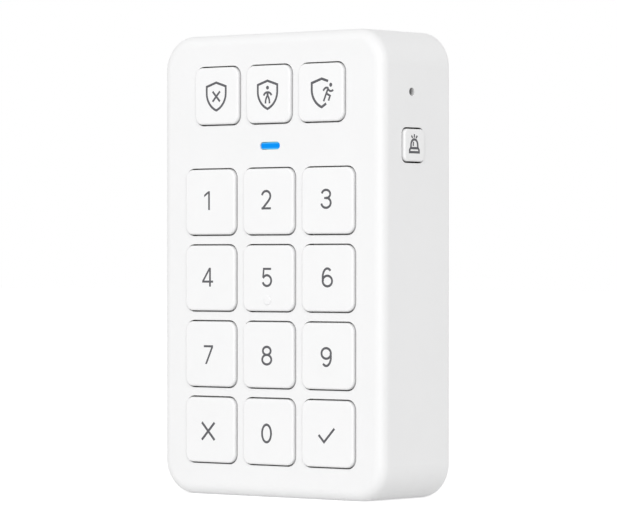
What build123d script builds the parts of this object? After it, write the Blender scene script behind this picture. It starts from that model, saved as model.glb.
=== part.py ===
"""A wall-mounted wireless alarm keypad: fifteen push keys, a status light and a side panic button.

X runs to the right of a person facing the keypad, Z up, and the wall is the plane Y = 0.
Depths are given as levels: the distance in front of the wall. Lengths are in millimetres.
"""

import os
from math import atan, degrees

from build123d import *

# --- Housing ---------------------------------------------------------------------------------
width = 70.0
height = 113.3
front_level = 27.2
rim_level = 0.5  # the housing's rear rim stands just off the wall
corner_radius = 8.5
front_edge_radius = 2.6
inner_edge_radius = 1.0  # along the cavity's front edge
rear_edge_radius = 1.2
side_wall = 2.4
front_wall = 2.2
rear_lip = 1.5  # thickness of the side wall where it surrounds the rear cover
slip = 0.15  # clearance between moulded pieces that slide or drop into each other

# --- Keys ------------------------------------------------------------------------------------
key_columns = 3
edge_margin = 8.3  # from the outer keys to the sides of the housing
end_margin = 8.05  # from the outer keys to its top and bottom
key_web = 2.7  # front left between two number keys
light_band = 11.1  # front left between the number keys and the mode keys
mode_key_size = 14.0
mode_key_web = 2.6
key_corner = 2.2
key_gap = 0.35  # between a key and its opening
key_rise = 0.9  # the keys stand proud of the front
key_edge_radius = 0.5
key_roof = 1.8
key_skirt = 1.3
key_flange = 0.7  # how far the hidden flange reaches past the key's sides
flange_thickness = 0.8
flange_play = 0.1
key_travel = 1.0
plunger_size = 4.4
tactile_dot_diameter = 1.8
tactile_dot_rise = 0.3
tactile_dot_inset = 2.8  # from the lower edge of key 5

# --- Side button and sound port -----------------------------------------------------------------
panic_setback = 11.75  # from the front face to the middle of the side button
port_setback = 11.4  # from the front face to the sound port
panic_drop = 0.3  # the side button's middle lies below the status light's
panic_size = 7.8
panic_corner = 1.3
panic_gap = 0.4
panic_rise = 0.7
panic_travel = 0.6
panic_flange = 0.7
panic_boss_diameter = 3.6
panic_boss_length = 1.1
sound_port_diameter = 2.0

# --- Status light -------------------------------------------------------------------------------
light_length = 6.1
light_height = 1.6
light_recess = 0.3
light_flange = 0.8
light_gap = 0.3  # between the light and its lens
led_length = 3.2
led_width = 1.6
led_height = 0.8
led_cup_diameter = 1.2
led_cup_depth = 0.3

# --- Keypad mat and circuit board ---------------------------------------------------------------
mat_clearance = 0.3  # left under a flange at the end of its travel
mat_thickness = 1.0
mat_corner = 4.0
dome_base_diameter = 8.6
dome_top_diameter = 4.4
dome_roof = 0.7
dome_play = 0.05
pill_diameter = 3.0
board_thickness = 1.6
board_gap = 0.4  # around the board's edge
case_boss_diameter = 4.4
board_boss_diameter = 4.4
pilot_diameter = 1.7
pilot_skin = 1.2  # plastic left between a pilot hole and the front face

# --- Electronics on the rear of the board ---------------------------------------------------------
buzzer_size = 9.6
buzzer_depth = 5.4
buzzer_gasket_diameter = 8.0
buzzer_gasket_bore = 3.0
buzzer_gasket_thickness = 1.6
radio_width = 14.0
radio_length = 19.0
radio_base_thickness = 1.0
radio_can_width = 11.4
radio_can_length = 13.0
radio_can_height = 2.2
radio_x = -16.0
radio_top_inset = 23.65  # from the housing's top to the module's middle
antenna_wire = 0.8
antenna_lift = 4.5  # above the board
antenna_bend = 3.0
antenna_run = 41.0
antenna_drop = 34.0
chips = [  # x, z, width, height and thickness of each packaged part
    (-3.0, 20.0, 9.0, 9.0, 1.2),  # controller
    (8.0, 27.0, 6.0, 5.0, 1.5),  # memory
    (-14.0, 14.0, 3.2, 2.5, 0.8),  # crystal
    (-20.0, 8.0, 6.5, 6.5, 3.0),  # inductor
    (-12.0, 6.0, 7.3, 4.3, 2.8),  # capacitor
    (-20.0, -2.0, 5.0, 4.0, 1.5),  # regulator
]

# --- Rear cover ---------------------------------------------------------------------------------
cover_level = 1.0
cover_thickness = 2.0
gasket_thickness = 0.5
post_diameter = 6.2
screw_seat_level = 12.0
screw_diameter = 2.0
screw_clearance = 0.2
screw_head_diameter = 3.8
screw_head_height = 1.4
screw_cross_length = 2.2
screw_cross_width = 0.5
screw_cross_depth = 0.7
screw_tip_play = 0.3

# --- Batteries: two AA cells across the lower half -------------------------------------------------
cell_nub_diameter = 5.2
cell_nub_length = 1.2
cell_edge_chamfer = 0.5
cell_play = 0.35
bay_end_room = 5.9  # what the bay is longer than a cell
bay_wall = 1.6
bay_floor = 1.3
bay_side_gap = 2.8  # between the tub and the housing's side walls
bay_board_gap = 0.7  # between the tub and the circuit board
bay_inset = 11.13  # from the housing's lower edge to the bay
bay_strip = 1.2  # cover left between the door and the bracket's recess
contact_thickness = 0.4
contact_play = 0.05
contact_size = 10.0
contact_bridge = 4.0
contact_tab_width = 3.0
spring_wire = 0.7
spring_base_radius = 4.0
spring_tip_radius = 2.6
spring_turns = 3.5

# --- Battery door -------------------------------------------------------------------------------
door_thickness = 2.0
door_ledge = 0.8
door_gap = 0.12
door_pin_diameter = 1.0
door_pin_length = 1.6
door_pin_clearance = 0.06
door_tongue_width = 12.0
door_tongue_length = 3.0
door_tongue_thickness = 1.0
door_tongue_setback = 0.5
door_grip_length = 14.0
door_grip_width = 0.8
door_grip_depth = 0.4
door_grip_pitch = 1.8
door_grip_grooves = 4
door_grip_inset = 6.0  # from the door's upper edge to the middle of the grooves
hinge_block_length = 2.6
hinge_block_height = 4.0
hinge_block_rise = 1.2
door_notch_width = 16.0
door_notch_depth = 1.3
pad_length = 40.0
pad_width = 5.0
pad_thickness = 1.8

# --- Wall bracket -------------------------------------------------------------------------------
bracket_side_inset = 7.0  # the bracket's edges lie inside the housing's outline
bracket_top_inset = 12.15
bracket_thickness = 2.6
bracket_corner = 4.0
bracket_chamfer = 0.4
bracket_slide = 7.0
bracket_gap = 0.4
bracket_floor_gap = 0.2
recess_wall = 1.6
recess_floor = 1.8
recess_end_gap = 0.5
hook_side_inset = 8.0  # from the bracket's edges to the middles of the hooks
hook_top_inset = 10.5
hook_bottom_inset = 13.5
hook_stem_width = 3.0
hook_height = 3.6
hook_head_width = 7.0
hook_head_thickness = 1.4
hook_play = 0.2
wall_screw_top_inset = 4.5
wall_screw_bottom_inset = 9.5
wall_screw_diameter = 4.2
wall_screw_head_diameter = 7.0

# --- Tamper plunger -----------------------------------------------------------------------------
tamper_x = 11.0
tamper_rise = 19.5  # above the bracket's lower edge
tamper_diameter = 4.0
tamper_travel = 1.2
tamper_tip_radius = 1.0
tamper_tail_diameter = 3.2
tamper_flange_diameter = 6.2
tamper_guide_diameter = 7.0
tamper_guide_level = 8.0
tamper_window_gap = 0.6
tamper_switch_size = 6.2
tamper_switch_height = 3.8
tamper_stem_diameter = 3.0
tamper_stem_height = 0.4
tamper_spring_wire = 0.5
tamper_spring_play = 0.3
tamper_spring_turns = 5

# --- Levels and places that follow ------------------------------------------------------------------
inner_level = front_level - front_wall
flange_top = inner_level - flange_play
flange_bottom = flange_top - flange_thickness
mat_top = flange_bottom - key_travel - mat_clearance
board_front = mat_top - mat_thickness
board_rear = board_front - board_thickness
cover_inside = cover_level + cover_thickness
ledge_level = cover_inside + gasket_thickness
panic_level = front_level - panic_setback
port_level = front_level - port_setback

half_width = width / 2
half_height = height / 2
cavity_width = width - 2 * side_wall
cavity_height = height - 2 * side_wall
cavity_corner = corner_radius - side_wall

number_rows = [
    ("key_cancel", "key_0", "key_enter"),
    ("key_7", "key_8", "key_9"),
    ("key_4", "key_5", "key_6"),
    ("key_1", "key_2", "key_3"),
]
mode_row = ("key_disarm", "key_home", "key_away")
key_rows = len(number_rows)
key_width = (width - 2 * edge_margin - (key_columns - 1) * key_web) / key_columns
keys_height = height - 2 * end_margin - mode_key_size - light_band
key_height = (keys_height - (key_rows - 1) * key_web) / key_rows
column_pitch = key_width + key_web
mode_column_pitch = mode_key_size + mode_key_web
bottom_row_z = -half_height + end_margin + key_height / 2
row_z = [bottom_row_z + n * (key_height + key_web) for n in range(key_rows)]
mode_row_z = half_height - end_margin - mode_key_size / 2
light_z = mode_row_z - (mode_key_size + light_band) / 2
panic_place = (-panic_level, light_z - panic_drop)
buzzer_place = (-port_level, mode_row_z)

keys = [  # name, x, z, width and height
    (name, (column - 1) * column_pitch, z, key_width, key_height)
    for names, z in zip(number_rows, row_z)
    for column, name in enumerate(names)
]
keys += [
    (name, (column - 1) * mode_column_pitch, mode_row_z, mode_key_size, mode_key_size)
    for column, name in enumerate(mode_row)
]

post_inset = (cavity_corner - post_diameter / 2 - 2 * slip) / 2**0.5
post_x = cavity_width / 2 - cavity_corner + post_inset
post_z = cavity_height / 2 - cavity_corner + post_inset
post_places = [(sx * post_x, sz * post_z) for sx in (-1, 1) for sz in (-1, 1)]
board_screw_x = (cavity_width - board_boss_diameter) / 2
board_screw_z = row_z[-1] - (key_height + key_web) / 2
board_screw_places = [(-board_screw_x, board_screw_z), (board_screw_x, board_screw_z)]
radio_z = half_height - radio_top_inset

# From the lower edge upwards: the bay, its door, the recess and the bracket in it. The cells, which are
# AA cells, take the room that the housing leaves them.
door_inside = cover_level + door_thickness
bay_floor_level = board_rear - bay_board_gap - bay_floor
bay_radius = (bay_floor_level - door_inside) / 2
bay_length = cavity_width - 2 * bay_side_gap - 2 * bay_wall
cell_diameter = 2 * (bay_radius - cell_play)
cell_length = bay_length - bay_end_room
bay_bottom = -half_height + bay_inset
bay_top = bay_bottom + 4 * bay_radius
door_bottom = bay_bottom - door_ledge
door_top = bay_top + door_ledge
door_width = bay_length + 2 * door_ledge
hinge_level = cover_level + door_thickness / 2
hinge_z = door_bottom + door_thickness / 2
cell_level = door_inside + bay_radius
upper_cell_z = bay_top - bay_radius
lower_cell_z = bay_bottom + bay_radius

recess_level = bracket_thickness + bracket_floor_gap
recess_inside = recess_level + recess_floor
recess_bottom = door_top + door_gap + bay_strip
bracket_bottom = recess_bottom + recess_end_gap + bracket_slide
bracket_top = half_height - bracket_top_inset
recess_top = bracket_top + recess_end_gap
bracket_width = width - 2 * bracket_side_inset
bracket_height = bracket_top - bracket_bottom
recess_width = bracket_width + 2 * bracket_gap
hook_x = bracket_width / 2 - hook_side_inset
hook_rows = (bracket_bottom + hook_bottom_inset, bracket_top - hook_top_inset)
hook_places = [(side * hook_x, z) for side in (-1, 1) for z in hook_rows]
wall_screw_places = [
    (0, bracket_bottom + wall_screw_bottom_inset),
    (0, bracket_top - wall_screw_top_inset),
]
tamper_z = bracket_bottom + tamper_rise
contact_face = bay_length / 2 - contact_play - contact_thickness
bay_spring_length = 2 * contact_face - contact_play - cell_length

tamper_flange_level = tamper_guide_level + flange_play
tamper_flange_end = tamper_flange_level + flange_thickness
tamper_switch_level = board_rear - tamper_switch_height
tamper_stem_level = tamper_switch_level - tamper_stem_height

os.makedirs("parts", exist_ok=True)


def level(distance):
    """The plane at this distance in front of the wall: sketches see X and Z, extrusions go forwards."""
    return Plane.XZ.offset(distance)


def save(part, name):
    part.label = name
    export_step(part, f"parts/{name}.step")


# --- Front shell ----------------------------------------------------------------------------------
with BuildPart() as front_shell:
    with BuildSketch(level(rim_level)):
        RectangleRounded(width, height, corner_radius)
    extrude(amount=front_level - rim_level)
    fillet(front_shell.faces().sort_by(Axis.Y)[0].edges(), front_edge_radius)
    fillet(front_shell.faces().sort_by(Axis.Y)[-1].edges(), rear_edge_radius)

    # The cavity, with its front edge rounded to follow the outside.
    with BuildPart(mode=Mode.PRIVATE) as cavity:
        with BuildSketch(level(rim_level)):
            RectangleRounded(cavity_width, cavity_height, cavity_corner)
        extrude(amount=inner_level - rim_level)
        fillet(cavity.faces().sort_by(Axis.Y)[0].edges(), inner_edge_radius)
    add(cavity.part, mode=Mode.SUBTRACT)
    with BuildSketch(level(rim_level)):
        RectangleRounded(
            width - 2 * rear_lip, height - 2 * rear_lip, corner_radius - rear_lip
        )
    extrude(amount=ledge_level - rim_level, mode=Mode.SUBTRACT)

    # Screw bosses reach from the front wall to the circuit board.
    with BuildSketch(level(board_front)):
        with Locations(*post_places):
            Circle(case_boss_diameter / 2)
        with Locations(*board_screw_places):
            Circle(board_boss_diameter / 2)
    extrude(amount=inner_level - board_front)
    with BuildSketch(level(board_front)):
        with Locations(*post_places, *board_screw_places):
            Circle(pilot_diameter / 2)
    extrude(amount=front_level - pilot_skin - board_front, mode=Mode.SUBTRACT)

    # Openings for the keys and the status light.
    with BuildSketch(level(inner_level - front_wall)):
        for _, x, z, across, up in keys:
            with Locations((x, z)):
                RectangleRounded(across + 2 * key_gap, up + 2 * key_gap, key_corner + key_gap)
        with Locations((0, light_z)):
            SlotOverall(light_length + 2 * slip, light_height + 2 * slip)
    extrude(amount=3 * front_wall, mode=Mode.SUBTRACT)

    # The side button's opening and the sound port go through the right-hand wall.
    with BuildSketch(Plane.YZ.offset(half_width - 2 * side_wall)):
        with Locations(panic_place):
            RectangleRounded(
                panic_size + 2 * panic_gap, panic_size + 2 * panic_gap, panic_corner + panic_gap
            )
        with Locations(buzzer_place):
            Circle(sound_port_diameter / 2)
    extrude(amount=3 * side_wall, mode=Mode.SUBTRACT)
save(front_shell.part, "front_shell")


# --- Keys -----------------------------------------------------------------------------------------
def make_key(name, x, z, across, up):
    """A hollow cap with a flange that the front wall holds back and a plunger over its dome."""
    top = front_level + key_rise
    with BuildPart() as key:
        with BuildSketch(level(flange_top)):
            with Locations((x, z)):
                RectangleRounded(across, up, key_corner)
        extrude(amount=top - flange_top)
        fillet(key.faces().sort_by(Axis.Y)[0].edges(), key_edge_radius)
        with BuildSketch(level(flange_bottom)):
            with Locations((x, z)):
                RectangleRounded(
                    across + 2 * key_flange, up + 2 * key_flange, key_corner + key_flange
                )
        extrude(amount=flange_thickness)
        with BuildSketch(level(flange_bottom)):
            with Locations((x, z)):
                Rectangle(across - 2 * key_skirt, up - 2 * key_skirt)
                Rectangle(plunger_size, plunger_size, mode=Mode.SUBTRACT)
        extrude(amount=top - key_roof - flange_bottom, mode=Mode.SUBTRACT)
        if name == "key_5":
            with BuildSketch(level(top)):
                with Locations((x, z - up / 2 + tactile_dot_inset)):
                    Circle(tactile_dot_diameter / 2)
            extrude(amount=tactile_dot_rise, taper=35)
    save(key.part, name)


for key_facts in keys:
    make_key(*key_facts)


# --- Panic button -----------------------------------------------------------------------------------
panic_flange_out = half_width - side_wall - flange_play
panic_flange_in = panic_flange_out - flange_thickness
panic_boss_end = panic_flange_in - panic_boss_length

with BuildPart() as panic_button:
    with BuildSketch(Plane.YZ.offset(panic_flange_in)):
        with Locations(panic_place):
            RectangleRounded(panic_size, panic_size, panic_corner)
    extrude(amount=half_width + panic_rise - panic_flange_in)
    fillet(panic_button.faces().sort_by(Axis.X)[-1].edges(), key_edge_radius)
    with BuildSketch(Plane.YZ.offset(panic_flange_in)):
        with Locations(panic_place):
            RectangleRounded(
                panic_size + 2 * panic_flange, panic_size + 2 * panic_flange, panic_corner
            )
    extrude(amount=flange_thickness)
    with BuildSketch(Plane.YZ.offset(panic_boss_end)):
        with Locations(panic_place):
            Circle(panic_boss_diameter / 2)
    extrude(amount=panic_boss_length)
save(panic_button.part, "panic_button")

# --- Side switch: the body stands on the board, its stem follows the button ---------------------------
switch_stem_diameter = 3.0
switch_stem_exposed = 1.6
switch_stem_hidden = 1.0
switch_body_size = 6.2
switch_body_depth = 4.2
stem_end = panic_boss_end - dome_play
switch_face = stem_end - switch_stem_exposed
switch_reach = board_rear - panic_level + switch_body_size / 2

with BuildPart() as panic_switch:
    with BuildSketch(Plane.YZ.offset(switch_face - switch_body_depth)):
        with Locations((-board_rear + switch_reach / 2, light_z - panic_drop)):
            Rectangle(switch_reach, switch_body_size)
    extrude(amount=switch_body_depth)
    with BuildSketch(Plane.YZ.offset(switch_face)):
        with Locations(panic_place):
            Circle(switch_stem_diameter / 2 + slip)
    extrude(amount=-(switch_stem_hidden + panic_travel + slip), mode=Mode.SUBTRACT)
save(panic_switch.part, "panic_switch")

with BuildPart() as panic_switch_stem:
    with BuildSketch(Plane.YZ.offset(switch_face - switch_stem_hidden)):
        with Locations(panic_place):
            Circle(switch_stem_diameter / 2)
    extrude(amount=stem_end - switch_face + switch_stem_hidden)
save(panic_switch_stem.part, "panic_switch_stem")

# --- Status light -----------------------------------------------------------------------------------
with BuildPart() as status_led:
    with BuildSketch(level(board_front)):
        with Locations((0, light_z)):
            Rectangle(led_length, led_width)
    extrude(amount=led_height)
    with BuildSketch(level(board_front + led_height)):
        with Locations((0, light_z)):
            Circle(led_cup_diameter / 2)
    extrude(amount=-led_cup_depth, mode=Mode.SUBTRACT)
save(status_led.part, "status_led")

# The lens reaches from the light to the front. Its flange is held between the mat and the shell.
lens_bottom = board_front + led_height + light_gap
with BuildPart() as status_lens:
    with BuildSketch(level(lens_bottom)):
        with Locations((0, light_z)):
            SlotOverall(light_length, light_height)
    extrude(amount=front_level - light_recess - lens_bottom)
    with BuildSketch(level(mat_top)):
        with Locations((0, light_z)):
            SlotOverall(light_length + 2 * light_flange, light_height + 2 * light_flange)
    extrude(amount=inner_level - mat_top)
save(status_lens.part, "status_lens")

# --- Keypad mat: a silicone sheet with a dome and a carbon pill under each key ------------------------
dome_top = flange_bottom - dome_play
dome_height = dome_top - mat_top
hollow_height = dome_top - dome_roof - board_front
pill_gap = key_travel - dome_play
upwards = (Align.CENTER, Align.CENTER, Align.MIN)
dome_places = [(x, z) for _, x, z, _, _ in keys]
mat_bottom = row_z[0] - key_height / 2 - key_flange
mat_upper_edge = mode_row_z + mode_key_size / 2 + key_flange

with BuildPart() as keypad_mat:
    with BuildSketch(level(board_front)):
        with Locations((0, (mat_bottom + mat_upper_edge) / 2)):
            RectangleRounded(
                width - 2 * edge_margin + 2 * key_flange, mat_upper_edge - mat_bottom, mat_corner
            )
        with Locations((0, light_z)):
            SlotOverall(light_length + 2 * slip, light_height + 2 * slip, mode=Mode.SUBTRACT)
    extrude(amount=mat_thickness)
    with Locations(level(mat_top)):
        with Locations(*dome_places):
            Cone(dome_base_diameter / 2, dome_top_diameter / 2, dome_height, align=upwards)
    with Locations(level(board_front)):
        with Locations(*dome_places):
            Cone(
                dome_base_diameter / 2,
                dome_top_diameter / 2,
                hollow_height,
                align=upwards,
                mode=Mode.SUBTRACT,
            )
    with Locations(level(board_front + pill_gap)):
        with Locations(*dome_places):
            Cylinder(pill_diameter / 2, hollow_height - pill_gap, align=upwards)
save(keypad_mat.part, "keypad_mat")

# --- Circuit board ----------------------------------------------------------------------------------
with BuildPart() as main_pcb:
    with BuildSketch(level(board_rear)):
        RectangleRounded(
            cavity_width - 2 * board_gap,
            cavity_height - 2 * board_gap,
            cavity_corner - board_gap,
        )
        with Locations(*post_places, *board_screw_places):
            Circle(screw_diameter / 2 + screw_clearance, mode=Mode.SUBTRACT)
    extrude(amount=board_thickness)
save(main_pcb.part, "main_pcb")

with BuildPart() as pcb_chips:
    for x, z, chip_width, chip_height, chip_thickness in chips:
        with BuildSketch(level(board_rear)):
            with Locations((x, z)):
                Rectangle(chip_width, chip_height)
        extrude(amount=-chip_thickness)
save(pcb_chips.part, "pcb_chips")

with BuildPart() as radio_module:
    with BuildSketch(level(board_rear)):
        with Locations((radio_x, radio_z)):
            Rectangle(radio_width, radio_length)
    extrude(amount=-radio_base_thickness)
    with BuildSketch(level(board_rear - radio_base_thickness)):
        with Locations((radio_x, radio_z - (radio_length - radio_can_length) / 4)):
            RectangleRounded(radio_can_width, radio_can_length, radio_base_thickness)
    extrude(amount=-radio_can_height)
save(radio_module.part, "radio_module")

# A quarter-wave wire: up from the board, across above the buzzer and down the far side.
antenna_x = radio_x - radio_width / 2 + antenna_wire
antenna_z = radio_z + radio_length / 2 + antenna_bend
antenna_y = antenna_lift - board_rear
antenna_end_x = antenna_x + antenna_run
with BuildPart() as antenna:
    with BuildLine() as wire_path:
        FilletPolyline(
            (antenna_x, -board_rear, antenna_z),
            (antenna_x, antenna_y, antenna_z),
            (antenna_end_x, antenna_y, antenna_z),
            (antenna_end_x, antenna_y, antenna_z - antenna_drop),
            radius=antenna_bend,
        )
    with BuildSketch(Plane.XZ.offset(board_rear)):
        with Locations((antenna_x, antenna_z)):
            Circle(antenna_wire / 2)
    sweep(path=wire_path.line)
save(antenna.part, "antenna")

# --- Buzzer: it faces the sound port through a foam ring ----------------------------------------------
buzzer_face = half_width - side_wall - buzzer_gasket_thickness
buzzer_reach = board_rear - port_level + buzzer_size / 2
with BuildPart() as buzzer:
    with BuildSketch(Plane.YZ.offset(buzzer_face - buzzer_depth)):
        with Locations((-board_rear + buzzer_reach / 2, mode_row_z)):
            Rectangle(buzzer_reach, buzzer_size)
    extrude(amount=buzzer_depth)
    with BuildSketch(Plane.YZ.offset(buzzer_face)):
        with Locations(buzzer_place):
            Circle(buzzer_gasket_bore / 2)
    extrude(amount=-buzzer_depth / 2, mode=Mode.SUBTRACT)
save(buzzer.part, "buzzer")

with BuildPart() as buzzer_gasket:
    with BuildSketch(Plane.YZ.offset(buzzer_face)):
        with Locations(buzzer_place):
            Circle(buzzer_gasket_diameter / 2)
            Circle(buzzer_gasket_bore / 2, mode=Mode.SUBTRACT)
    extrude(amount=buzzer_gasket_thickness)
save(buzzer_gasket.part, "buzzer_gasket")

# --- Rear cover -------------------------------------------------------------------------------------
cover_width = width - 2 * rear_lip - 2 * slip
cover_height = height - 2 * rear_lip - 2 * slip
recess_middle = (recess_top + recess_bottom) / 2
recess_height = recess_top - recess_bottom
recess_corner = bracket_corner + bracket_gap
bay_middle = (bay_top + bay_bottom) / 2
bay_height = bay_top - bay_bottom
bay_outer_length = bay_length + 2 * bay_wall
contact_middle = contact_face + contact_thickness / 2

with BuildPart() as rear_cover:
    with BuildSketch(level(cover_level)):
        RectangleRounded(cover_width, cover_height, corner_radius - rear_lip - slip)
    extrude(amount=cover_thickness)

    # The tray behind which the bracket's hooks lock.
    with BuildSketch(level(cover_level)):
        with Locations((0, recess_middle)):
            RectangleRounded(
                recess_width + 2 * recess_wall,
                recess_height + 2 * recess_wall,
                recess_corner + recess_wall,
            )
    extrude(amount=recess_inside - cover_level)
    with BuildSketch(level(0)):
        with Locations((0, recess_middle)):
            RectangleRounded(recess_width, recess_height, recess_corner)
    extrude(amount=recess_level, mode=Mode.SUBTRACT)
    with BuildSketch(level(0)):
        for x, z in hook_places:
            with Locations((x, z - bracket_slide / 2)):
                Rectangle(
                    hook_stem_width + 2 * hook_play,
                    hook_height + bracket_slide + 2 * hook_play,
                )
            with Locations((x, z - bracket_slide)):
                Rectangle(hook_head_width + 2 * hook_play, hook_height + 2 * hook_play)
    extrude(amount=recess_inside, mode=Mode.SUBTRACT)

    # The tub that holds the cells, with a saddle for each.
    with BuildSketch(Plane.YZ.offset(-bay_outer_length / 2)):
        with Locations((-(cover_level + bay_floor_level + bay_floor) / 2, bay_middle)):
            Rectangle(
                bay_floor_level + bay_floor - cover_level, bay_height + 2 * bay_wall
            )
    extrude(amount=bay_outer_length)
    with BuildSketch(Plane.YZ.offset(-bay_length / 2)):
        with Locations((-cell_level / 2, bay_middle)):
            Rectangle(cell_level, bay_height)
        with Locations((-cell_level, upper_cell_z), (-cell_level, lower_cell_z)):
            Circle(bay_radius)
    extrude(amount=bay_length, mode=Mode.SUBTRACT)
    with BuildSketch(level(bay_floor_level - bay_radius / 2)):
        with Locations((contact_middle, upper_cell_z), (contact_middle, lower_cell_z)):
            Rectangle(contact_thickness + 2 * slip, contact_tab_width + 2 * slip)
    extrude(amount=board_rear - bay_floor_level + bay_radius / 2, mode=Mode.SUBTRACT)

    # The door's opening, the blocks and holes for its pins, and the notch to lift it by.
    with BuildSketch(level(cover_level)):
        for side in (-1, 1):
            with Locations((side * (door_width + hinge_block_length) / 2, hinge_z)):
                Rectangle(hinge_block_length, hinge_block_height)
    extrude(amount=cover_thickness + hinge_block_rise)
    with BuildSketch(level(0)):
        with Locations((0, (door_top + door_bottom) / 2)):
            Rectangle(door_width + 2 * door_gap, door_top - door_bottom + 2 * door_gap)
    extrude(amount=door_inside, mode=Mode.SUBTRACT)
    with BuildSketch(Plane.YZ.offset(-door_width / 2 - door_pin_length - door_gap)):
        with Locations((-hinge_level, hinge_z)):
            Circle(door_pin_diameter / 2 + door_pin_clearance)
    extrude(amount=door_width + 2 * (door_pin_length + door_gap), mode=Mode.SUBTRACT)
    with BuildSketch(level(0)):
        with Locations((0, door_top + door_gap + bay_strip / 2)):
            RectangleRounded(door_notch_width, bay_strip + 4 * door_gap, door_gap)
    extrude(amount=cover_level + door_notch_depth, mode=Mode.SUBTRACT)

    # Posts for the case screws, whose heads sit deep inside, and the tamper plunger's guide.
    with BuildSketch(level(cover_level)):
        with Locations(*post_places):
            Circle(post_diameter / 2)
    extrude(amount=board_rear - cover_level)
    with BuildSketch(level(0)):
        with Locations(*post_places):
            Circle(screw_head_diameter / 2 + screw_clearance)
    extrude(amount=screw_seat_level, mode=Mode.SUBTRACT)
    with BuildSketch(level(0)):
        with Locations(*post_places):
            Circle(screw_diameter / 2 + screw_clearance)
    extrude(amount=board_rear, mode=Mode.SUBTRACT)
    with BuildSketch(level(recess_level)):
        with Locations((tamper_x, tamper_z)):
            Circle(tamper_guide_diameter / 2)
    extrude(amount=tamper_guide_level - recess_level)
    with BuildSketch(level(0)):
        with Locations((tamper_x, tamper_z)):
            Circle(tamper_diameter / 2 + slip)
    extrude(amount=tamper_guide_level, mode=Mode.SUBTRACT)
save(rear_cover.part, "rear_cover")

with BuildPart() as rear_gasket:
    with BuildSketch(level(cover_inside)):
        RectangleRounded(cover_width, cover_height, corner_radius - rear_lip - slip)
        RectangleRounded(cavity_width, cavity_height, cavity_corner, mode=Mode.SUBTRACT)
    extrude(amount=gasket_thickness)
save(rear_gasket.part, "rear_gasket")


# --- Screws -----------------------------------------------------------------------------------------
def make_screws(name, places, seat_level):
    """Cross-head screws driven forwards into the shell's bosses."""
    tip_level = front_level - pilot_skin - screw_tip_play
    with BuildPart() as screws:
        with BuildSketch(level(seat_level - screw_head_height)):
            with Locations(*places):
                Circle(screw_head_diameter / 2)
        extrude(amount=screw_head_height)
        with BuildSketch(level(seat_level)):
            with Locations(*places):
                Circle(screw_diameter / 2)
        extrude(amount=tip_level - seat_level)
        with BuildSketch(level(seat_level - screw_head_height)):
            with Locations(*places):
                Rectangle(screw_cross_length, screw_cross_width)
                Rectangle(screw_cross_width, screw_cross_length)
        extrude(amount=screw_cross_depth, mode=Mode.SUBTRACT)
    save(screws.part, name)


make_screws("case_screws", post_places, screw_seat_level)
make_screws("board_screws", board_screw_places, board_rear)


# --- Batteries and their contacts -------------------------------------------------------------------
def make_cell(name, z, side):
    """An AA cell along X, its positive end towards side."""
    nub_end = side * (contact_face - contact_play)
    shoulder = nub_end - side * cell_nub_length
    negative_end = nub_end - side * cell_length
    with BuildPart() as cell:
        with BuildSketch(Plane.YZ.offset(negative_end)):
            with Locations((-cell_level, z)):
                Circle(cell_diameter / 2)
        extrude(amount=shoulder - negative_end)
        chamfer(cell.edges(), cell_edge_chamfer)
        with BuildSketch(Plane.YZ.offset(shoulder)):
            with Locations((-cell_level, z)):
                Circle(cell_nub_diameter / 2)
        extrude(amount=nub_end - shoulder)
    save(cell.part, name)


make_cell("battery_upper", upper_cell_z, 1)
make_cell("battery_lower", lower_cell_z, -1)


def contact_spring(side, z):
    """A conical spring from a cell's negative end to its pad, with the last turn sunk into the pad."""
    tip = contact_face - bay_spring_length + spring_wire / 2
    length = contact_face - tip
    with BuildPart() as coil:
        with BuildLine() as wire:
            Helix(
                pitch=length / spring_turns,
                height=length,
                radius=spring_tip_radius,
                center=(side * tip, -cell_level, z),
                direction=(side, 0, 0),
                cone_angle=degrees(atan((spring_base_radius - spring_tip_radius) / length)),
            )
        with BuildSketch(wire.line ^ 0):
            RegularPolygon(spring_wire / 2, 6)
        sweep(path=wire.line, is_frenet=True)
    return coil.part


def make_contact(name, side, pads, spring_at=None, tab_at=None):
    """Sheet metal pads against the bay's end wall, joined by a bridge where there are two."""
    with BuildPart() as contact:
        with BuildSketch(Plane.YZ.offset(side * contact_face)):
            with Locations(*[(-cell_level, z) for z in pads]):
                Rectangle(contact_size, contact_size)
            with Locations((-cell_level + (contact_size - contact_bridge) / 2, sum(pads) / len(pads))):
                Rectangle(contact_bridge, max(pads) - min(pads) + contact_size)
        extrude(amount=side * contact_thickness)
        if spring_at is not None:
            add(contact_spring(side, spring_at))
        if tab_at is not None:
            with BuildSketch(Plane.YZ.offset(side * contact_face)):
                with Locations((-(board_rear + cell_level) / 2, tab_at)):
                    Rectangle(board_rear - cell_level, contact_tab_width)
            extrude(amount=side * contact_thickness)
    save(contact.part, name)


make_contact("positive_contact", 1, [upper_cell_z], tab_at=upper_cell_z)
make_contact("negative_contact", 1, [lower_cell_z], spring_at=lower_cell_z, tab_at=lower_cell_z)
make_contact("series_contact", -1, [upper_cell_z, lower_cell_z], spring_at=upper_cell_z)

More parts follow.
